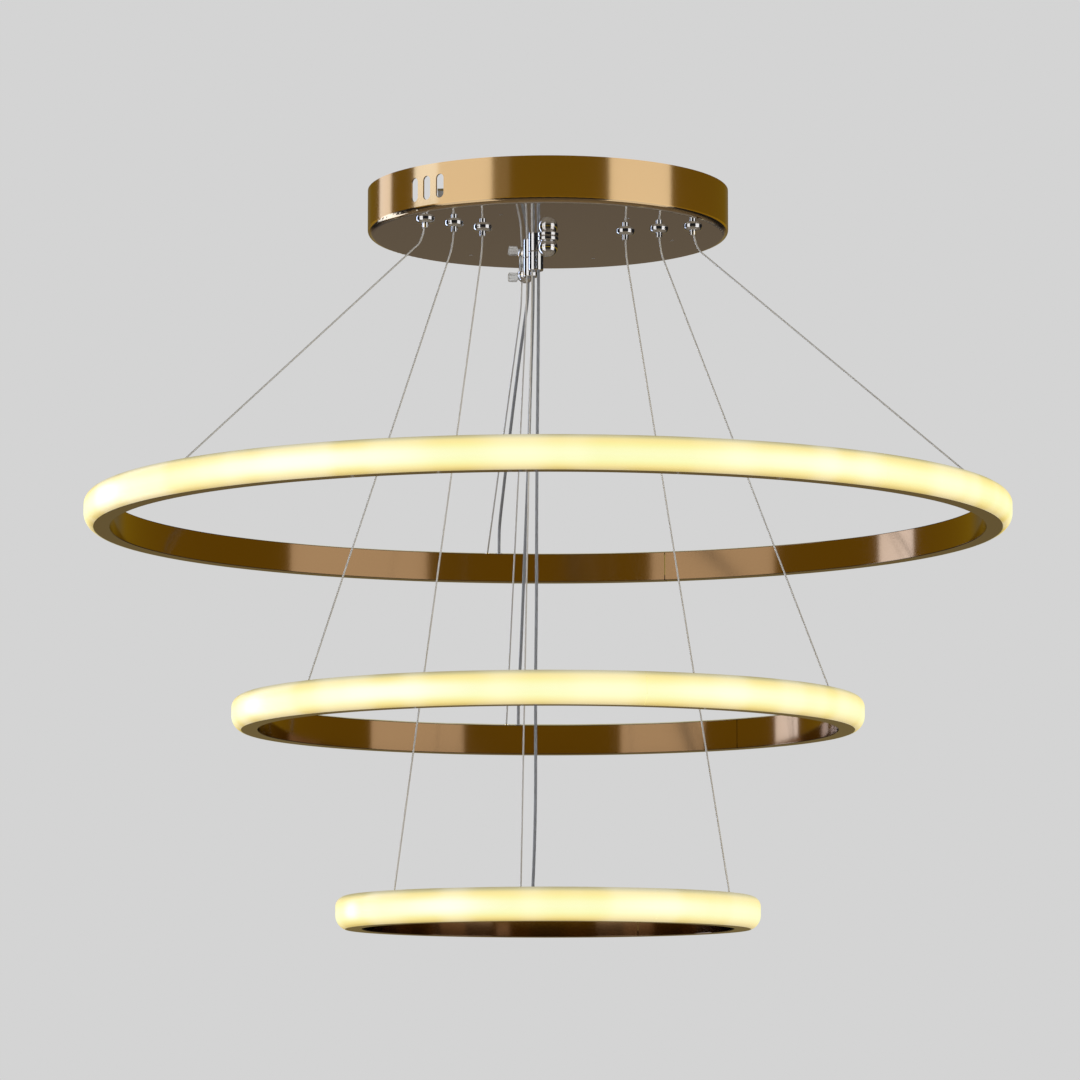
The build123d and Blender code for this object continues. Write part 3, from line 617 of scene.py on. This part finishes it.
# %% Make the lit plastic
# (share of the way from the bottom flange to the top edge, light given off there)
cover_glow = [
    (0.00, (0.42, 0.29, 0.00)), (0.06, (0.60, 0.44, 0.03)), (0.125, (0.78, 0.62, 0.12)),
    (0.185, (0.80, 0.73, 0.20)), (0.25, (0.80, 0.80, 0.29)), (0.37, (0.79, 0.79, 0.33)),
    (0.455, (0.79, 0.78, 0.29)), (0.54, (0.78, 0.72, 0.165)), (0.60, (0.79, 0.64, 0.11)),
    (0.655, (0.72, 0.575, 0.095)), (0.71, (0.47, 0.40, 0.06)), (0.77, (0.30, 0.25, 0.03)),
    (1.00, (0.24, 0.20, 0.02)),
]
outside_stretch = 2.05
milky = finish("milky_cover", (0.31, 0.31, 0.37), (0.28, 0.28, 0.34), 0.34, 0.42, grain=0.08, scale=30.0,
               grain_scale=1200.0, Emission_Strength=1.0)
tree = milky.node_tree
cover_uv = tree.nodes.new("ShaderNodeUVMap")
cover_uv.uv_map = "surface"
parts = tree.nodes.new("ShaderNodeSeparateXYZ")
tree.links.new(cover_uv.outputs[0], parts.inputs[0])
ramp = tree.nodes.new("ShaderNodeValToRGB")
ramp.color_ramp.elements.remove(ramp.color_ramp.elements[1])
ramp.color_ramp.elements[0].position = cover_glow[0][0]
ramp.color_ramp.elements[0].color = (*cover_glow[0][1], 1)
for position, shade in cover_glow[1:]:
    ramp.color_ramp.elements.new(position).color = (*shade, 1)
height_share = math_node(tree, "MULTIPLY", parts.outputs["Y"], outside_stretch)
tree.links.new(height_share, ramp.inputs[0])
print("stops across the cover:", len(cover_glow))

# %% [markdown]
# The diodes behind the cover show as soft spots, a little brighter than what lies between them. They shine
# sideways and not up or down, so the noise for them runs along the ring only: the point's height is left out
# of it.

# %% Add the soft spots of the diodes
spot_scale = 16.0
spot_range = (0.38, 0.62)
spot_share = 0.18
spot_colour = (1.0, 1.0, 0.92, 1)
spots = tree.nodes.new("ShaderNodeTexNoise")
spots.inputs["Scale"].default_value = spot_scale
spots.inputs["Detail"].default_value = 1.0
spot_place = tree.nodes.new("ShaderNodeTexCoord")
flat_place = tree.nodes.new("ShaderNodeVectorMath")
flat_place.operation = "MULTIPLY"
flat_place.inputs[1].default_value = (1, 1, 0)
tree.links.new(spot_place.outputs["Object"], flat_place.inputs[0])
tree.links.new(flat_place.outputs[0], spots.inputs["Vector"])
brighter = mix_colour(tree, spot_share, ramp.outputs[0], spot_colour)
near_diode = smooth_share(tree, spots.outputs["Fac"], *spot_range)
glow = mix_colour(tree, near_diode, ramp.outputs[0], brighter)
print("spots show where the noise is over", spot_range[0])

# %% [markdown]
# Three longer stretches of the rings shine whiter than the rest. They are painted highlights: the sheen of
# the soft lamps on the cover, given off as whiter light. Each is a soft hump in the angle round the axis
# times a soft hump in the height, so it fades towards its ends and towards the cover's edges. The angle is
# the arc tangent of Y and X, both turned round and half a turn added, which makes it run from 0 to a full
# turn.

# %% Add the painted highlights of the lamps
# (azimuth of a painted highlight, degrees to either side, share of white at its middle)
painted_highlights = [(240, 24, 0.62), (303, 18, 0.25), (204, 7, 0.70)]
highlight_height = 0.39
highlight_reach = (0.04, 0.25)
highlight_colour = (0.82, 0.82, 0.72, 1)
sides = tree.nodes.new("ShaderNodeSeparateXYZ")
tree.links.new(spot_place.outputs["Object"], sides.inputs[0])
backwards = [math_node(tree, "MULTIPLY", sides.outputs[axis], -1.0) for axis in ("Y", "X")]
azimuth = math_node(tree, "ADD", math_node(tree, "ARCTAN2", *backwards), math.pi)
off_middle = math_node(tree, "ABSOLUTE", math_node(tree, "SUBTRACT", height_share, highlight_height))
midway = math_node(tree, "SUBTRACT", 1.0, smooth_share(tree, off_middle, *highlight_reach))
# painted highlight: the soft lamps' sheen, mixed into the cover's glow as whiter light
for middle, half, strength in painted_highlights:
    off = math_node(tree, "ABSOLUTE", math_node(tree, "SUBTRACT", azimuth, math.radians(middle)))
    here = math_node(tree, "SUBTRACT", 1.0, smooth_share(tree, off, 0.0, math.radians(half)))
    share = math_node(tree, "MULTIPLY", math_node(tree, "MULTIPLY", here, midway), strength)
    glow = mix_colour(tree, share, glow, highlight_colour)
tree.links.new(glow, tree.nodes["Principled BSDF"].inputs["Emission Color"])
print("whiter stretches at", [stretch[0] for stretch in painted_highlights], "degrees")

# %% [markdown]
# The real cover is drawn through a die as a long strip, bent, and snapped over both flanges of the channel in
# butted lengths. Its lower edge reaches down over the channel's bottom flange and a small foot hooks in
# behind it. The section is worked out from the channel's own sizes, so the two always fit.

# %% Turn the covers
cover_wall = 1.4 * MM
section_height = 28.0 * MM
cover_top_radius = 9.0 * MM
cover_belly = 12.0 * MM
cover_foot = 2.4 * MM
seat = 0.1 * MM
cover_lengths = 3
cover_joint_gap = 0.2 * MM
cover_steps = 145
outside_arc_points = 24
inside_arc_points = 12
points_a_side = 41


def arc(centre, radius, first, last, steps):
    """Points on a circle: its centre plus radius times (cosine, sine) of evenly spaced angles."""
    angle = np.radians(np.linspace(first, last, steps))
    return np.asarray(centre) + radius * np.stack([np.cos(angle), np.sin(angle)], 1)


def evenly(points, count):
    """The same line with evenly spaced points, so that the UV map runs evenly along it."""
    along = np.concatenate([[0], np.cumsum(np.linalg.norm(np.diff(points, axis=0), axis=1))])
    places = np.linspace(0, along[-1], count)
    return np.stack([np.interp(places, along, points[:, k]) for k in range(2)], 1)


def cover_outline(radius):
    """Section of the cover: from the bottom flange's edge up the outside to the top edge, and back down
    inside to the foot that hooks over the flange. The lower bulge is an arc that starts at the flange and is
    upright at its top: its radius is (bulge squared + rise squared) / (2 x bulge). Half of the points lie
    outside, evenly spaced, so V x outside_stretch is the share of the way from flange to top."""
    lip = radius - section_depth + bottom_flange + seat
    bulge = radius - lip
    belly = (bulge**2 + cover_belly**2) / (2 * bulge)
    end = math.degrees(math.asin(cover_belly / belly))
    top_edge = radius - section_depth + top_flange - cover_foot
    crown, shoulder = radius - cover_top_radius, section_height - cover_top_radius
    foot_bottom = wall + seat
    foot_top = foot_bottom + cover_wall
    inner_end = math.degrees(math.asin((cover_belly - foot_top) / (belly - cover_wall)))
    outside = np.concatenate([
        arc((radius - belly, cover_belly), belly, -end, 0, outside_arc_points),
        arc((crown, shoulder), cover_top_radius, 0, 90, outside_arc_points),
        [(top_edge, section_height)],
    ])
    inside = np.concatenate([
        [(top_edge, section_height - cover_wall)],
        arc((crown, shoulder), cover_top_radius - cover_wall, 90, 0, inside_arc_points),
        arc((radius - belly, cover_belly), belly - cover_wall, 0, -inner_end, inside_arc_points),
        [(lip - cover_foot, foot_top), (lip - cover_foot, foot_bottom), (lip, foot_bottom)],
    ])
    return np.concatenate([evenly(outside, points_a_side), evenly(inside, points_a_side)])


for ring, size in RINGS.items():
    outline = cover_outline(size["radius"]) + np.array([0, size["bottom"]])
    gap = math.degrees(cover_joint_gap / size["radius"])
    span = 360 / cover_lengths
    starts = [size["seam"] + k * span for k in range(cover_lengths)]
    points = [turned(outline, first + gap / 2, first + span - gap / 2, cover_steps) for first in starts]
    cover = grid_piece(f"cover_{ring}", points, milky, round_rows=True, parts=cover_lengths)
    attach(cover, f"{ring}_ring")
    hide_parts(f"ring_diffuser_{ring}")

# %% [markdown]
# ## The thumb screw
#
# The large ring's rear fitting pinches its lead with a clear screw. Its head is knurled so that fingers can
# turn it. A knurl could be cut with a row of small tools, but a ripple in the radius is enough at this size:
# the turned profile's radius is lowered by one cosine wave per ridge, which goes from no depth to the full
# depth.

# %% Turn the thumb screw
screw_height = -52.0 * MM
ridges = 24
points_a_ridge = 6
ridge_depth = 0.35 * MM
# (distance from the fitting's axis, radius, share of the ridges' depth)
screw_profile = np.array([
    (5.0, 2.0, 0), (7.6, 2.0, 0), (7.6, 3.6, 0), (8.2, 4.2, 1),
    (15.0, 4.2, 1), (15.6, 3.7, 0), (15.6, 2.6, 0), (15.0, 2.1, 0),
])
outward = -beside(ROWS["rear"])
start = towards(ROWS["rear"]) * RINGS["large"]["gripper"] + np.array([0, 0, screw_height])
angle = np.linspace(0, 2 * math.pi, ridges * points_a_ridge, endpoint=False)
distance, reach, share = (column[:, None] for column in screw_profile.T)
reach = reach * MM - share * ridge_depth * (0.5 + 0.5 * np.cos(ridges * angle))
up = np.array([0, 0, 1.0])
sideways = np.cross(up, outward)
points = start + (distance * MM)[..., None] * outward + (reach * np.cos(angle))[..., None] * sideways
points = points + (reach * np.sin(angle))[..., None] * np.cross(outward, sideways)
screw = grid_piece("thumb_screw", points, clear_plastic, round_columns=True)
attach(screw, "canopy")
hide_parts("clamp_screw")
print("thumb screw quads:", len(screw.data.polygons))

# %% [markdown]
# ## Finishes for the pieces that stay as they are
#
# The light strips lie hidden in the channels, behind the covers. A strip is a white band with a row of yellow
# diodes. At this size a diode is a patch of colour: the angle round the axis is cut into equal cells, and the
# middle of each cell is a diode.

# %% Make the diode band
diodes_per_radian = 40.0
diode_half_width = 0.14
band_white = (0.86, 0.85, 0.80)
phosphor_yellow = (0.90, 0.72, 0.16)
led_band = finish("led_band", band_white, (0.80, 0.79, 0.74), 0.35, 0.45, grain=0.1, scale=60.0)
tree = led_band.node_tree
shader = tree.nodes["Principled BSDF"]
strip_place = tree.nodes.new("ShaderNodeTexCoord")
parts = tree.nodes.new("ShaderNodeSeparateXYZ")
tree.links.new(strip_place.outputs["Object"], parts.inputs[0])
turn = math_node(tree, "ARCTAN2", parts.outputs["Y"], parts.outputs["X"])
cell = math_node(tree, "FRACT", math_node(tree, "MULTIPLY", turn, diodes_per_radian))
off_centre = math_node(tree, "ABSOLUTE", math_node(tree, "SUBTRACT", cell, 0.5))
diode = math_node(tree, "LESS_THAN", off_centre, diode_half_width)
band_colour = mix_colour(tree, diode, (*band_white, 1), (*phosphor_yellow, 1))
tree.links.new(band_colour, shader.inputs["Base Color"])
print("diodes round a strip:", int(2 * math.pi * diodes_per_radian))

# %% [markdown]
# The canopy and the small fittings have their true shape in the CAD model already, with smooth normals, so
# they only need their finishes. The record names a material slot for each piece, and each slot gets one
# finish.

# %% Give each CAD piece its finish
finishes = {
    "gold_metal": canopy_gold, "gold_profile": ring_gold, "chrome": chrome, "zinc_steel": zinc,
    "bare_aluminium": mill_metal, "white_plastic": case_plastic, "terminal_plastic": nylon,
    "clear_plastic": clear_plastic, "led_strip": led_band, "diffuser": milky, "steel_wire": stranded,
    "clear_lead": lead_plastic,
}
slot_of = {part["node"]: part["material_slot"] for part in frame["record"]["subparts"]}
for name, node in nodes.items():
    node.data.materials.clear()
    node.data.materials.append(finishes[slot_of[name]])
print("finished", len(nodes), "CAD pieces")

# %% [markdown]
# ## The room
#
# The fitting hangs in front of a plain grey backdrop, over a pale floor. The world gives that grey to the
# camera and to rays that pass through clear plastic. Mirror-like metal needs something to reflect, or it
# looks black, so rays from glossy surfaces see a dim room: a warm band of walls that is darker higher up,
# near black round it, the end of a brown floor and a dim golden wall behind the fitting, which the undersides
# mirror, and a pale ceiling overhead. Z is the sine of a direction's height over the horizon, and Y is near 1
# straight behind the fitting.

# %% Build the world
backdrop_grey = (0.658, 0.658, 0.658, 1)
room_light = (0.50, 0.50, 0.50, 1)
low_wall = (0.345, 0.22, 0.010, 1)
high_wall = (0.185, 0.115, 0.008, 1)
dark = (0.014, 0.014, 0.015, 1)
near_floor = (0.10, 0.075, 0.055, 1)
far_floor = (0.165, 0.13, 0.08, 1)
rear_wall = (0.20, 0.15, 0.06, 1)
ceiling = (0.26, 0.25, 0.23, 1)
# (Z where a part of the room begins to show, Z where it shows whole), and the same in Y for what is behind
band_foot_range = (-0.06, 0.0)
band_top_range = (0.26, 0.36)
high_wall_range = (0.155, 0.185)
far_floor_range = (-0.24, -0.10)
rear_wall_range = (-0.17, -0.145)
ceiling_range = (0.45, 0.75)
behind_range = (0.88, 0.97)
world = bpy.data.worlds.new("room")
world.use_nodes = True
bpy.context.scene.world = world
tree = world.node_tree
backing = tree.nodes["Background"]
rays = tree.nodes.new("ShaderNodeLightPath")
direction = tree.nodes.new("ShaderNodeTexCoord")
parts = tree.nodes.new("ShaderNodeSeparateXYZ")
tree.links.new(direction.outputs["Generated"], parts.inputs[0])
band_foot = smooth_share(tree, parts.outputs["Z"], *band_foot_range)
band_top = smooth_share(tree, parts.outputs["Z"], *band_top_range)
band = math_node(tree, "SUBTRACT", band_foot, band_top)
higher = smooth_share(tree, parts.outputs["Z"], *high_wall_range)
front = mix_colour(tree, band, dark, mix_colour(tree, higher, low_wall, high_wall))
farther = smooth_share(tree, parts.outputs["Z"], *far_floor_range)
level = smooth_share(tree, parts.outputs["Z"], *rear_wall_range)
rear = mix_colour(tree, level, mix_colour(tree, farther, near_floor, far_floor), rear_wall)
behind = smooth_share(tree, parts.outputs["Y"], *behind_range)
around = mix_colour(tree, behind, front, rear)
overhead = smooth_share(tree, parts.outputs["Z"], *ceiling_range)
mirrored = mix_colour(tree, overhead, around, ceiling)
plain = mix_colour(tree, rays.outputs["Is Glossy Ray"], room_light, mirrored)
seen = math_node(tree, "MAXIMUM", rays.outputs["Is Camera Ray"], rays.outputs["Is Transmission Ray"])
tree.links.new(mix_colour(tree, seen, plain, backdrop_grey), backing.inputs["Color"])
print("backdrop grey:", backdrop_grey[:3])

# %% [markdown]
# Tall soft lamps stand round the fitting, as in a photo studio. In the gold walls they show as the pale
# upright bands, with dark gold between. One wide lamp stands to the right and one to the left of the camera.
# A slim, weak one softens the left lamp's edge, a bluish one further round gives the pale band near the
# canopy's left end, and two behind on the left, one over the other, put a thin cool line on the edges there.

# %% Place the soft lamps
def soft_lamp(name, one, other, low, high, brightness, tint):
    """Upright rectangle between two points on the plan, facing the axis. Power is brightness x pi x area."""
    one, other = np.array(one), np.array(other)
    width = float(np.linalg.norm(other - one))
    height = high - low
    lamp = bpy.data.lights.new(name, "AREA")
    lamp.shape = "RECTANGLE"
    lamp.size = width
    lamp.size_y = height
    lamp.energy = brightness * math.pi * width * height
    lamp.color = tint
    holder = bpy.data.objects.new(name, lamp)
    middle = (one + other) / 2
    along = (other - one) / width
    normal = np.array([-along[1], along[0]])
    normal = normal if normal @ middle < 0 else -normal
    holder.location = (*middle, (low + high) / 2)
    holder.rotation_euler = (math.pi / 2, 0, math.atan2(normal[1], normal[0]) - math.pi / 2)
    holder.visible_camera = False
    collection.objects.link(holder)


# (name, one end, other end, bottom, top, brightness, colour)
lamps = [
    ("right", (0.95, -1.25), (2.00, -0.30), -1.10, 0.75, 1.00, (1, 1, 1)),
    ("left", (-0.62, -0.95), (-1.72, -0.58), -1.10, 0.75, 1.00, (1, 1, 1)),
    ("left_edge", (-0.42, -1.016), (-0.62, -0.95), 0.08, 0.75, 0.11, (1, 1, 1)),
    ("left_side", (-1.72, -0.58), (-1.80, 0.02), 0.24, 0.75, 1.80, (0.72, 0.82, 1.0)),
    ("rear_upper", (-1.32, 0.58), (-1.08, 0.92), 0.02, 0.75, 1.35, (0.80, 0.84, 1.0)),
    ("rear_lower", (-1.32, 0.58), (-1.08, 0.92), -1.10, 0.02, 3.20, (0.60, 0.72, 1.0)),
]
for name, *shape in lamps:
    soft_lamp(f"lamp_{name}", *shape)

# %% [markdown]
# The floor is pale and lies well below the fitting. It fades out in a circle, so that the plain backdrop
# takes over without a line, and its middle keeps the soft shadow. In the metal it shows as a brown floor,
# darker than it is, because a pale one would wash out the gold. Its back side is clear, so that the fitting
# can be looked at from below.

# %% Lay the floor
floor_height = -1.75
floor_radius = 6.0
fade_range = (2.5, 5.8)
points_across = 5
mirrored_floor = (0.30, 0.25, 0.19, 1)
floor_paint = finish("floor_paint", (0.66, 0.66, 0.66), (0.64, 0.64, 0.64), 0.75, 0.85, grain=0.03, scale=4.0)
tree = floor_paint.node_tree
spot = tree.nodes.new("ShaderNodeTexCoord")
reach = tree.nodes.new("ShaderNodeVectorMath")
reach.operation = "LENGTH"
tree.links.new(spot.outputs["Object"], reach.inputs[0])
fade = smooth_share(tree, reach.outputs["Value"], *fade_range)
shader = tree.nodes["Principled BSDF"]
side = tree.nodes.new("ShaderNodeNewGeometry")
from_above = math_node(tree, "SUBTRACT", 1.0, side.outputs["Backfacing"])
left_over = math_node(tree, "SUBTRACT", 1.0, fade)
tree.links.new(math_node(tree, "MULTIPLY", left_over, from_above), shader.inputs["Alpha"])
rays = tree.nodes.new("ShaderNodeLightPath")
paint = shader.inputs["Base Color"].links[0].from_socket
in_metal = mix_colour(tree, rays.outputs["Is Glossy Ray"], paint, mirrored_floor)
tree.links.new(in_metal, shader.inputs["Base Color"])
across = np.linspace(-floor_radius, floor_radius, points_across)
level_grid = np.meshgrid(across, across)
square = np.stack([*level_grid, np.full_like(level_grid[0], floor_height)], -1)
floor = grid_piece("floor", square, floor_paint)
print("floor at", floor_height, "m")

# %% [markdown]
# ## Finish
#
# The view transform is plain, so that a colour comes out as it is written.

# %% Set the plain view transform
bpy.context.scene.view_settings.view_transform = "Standard"
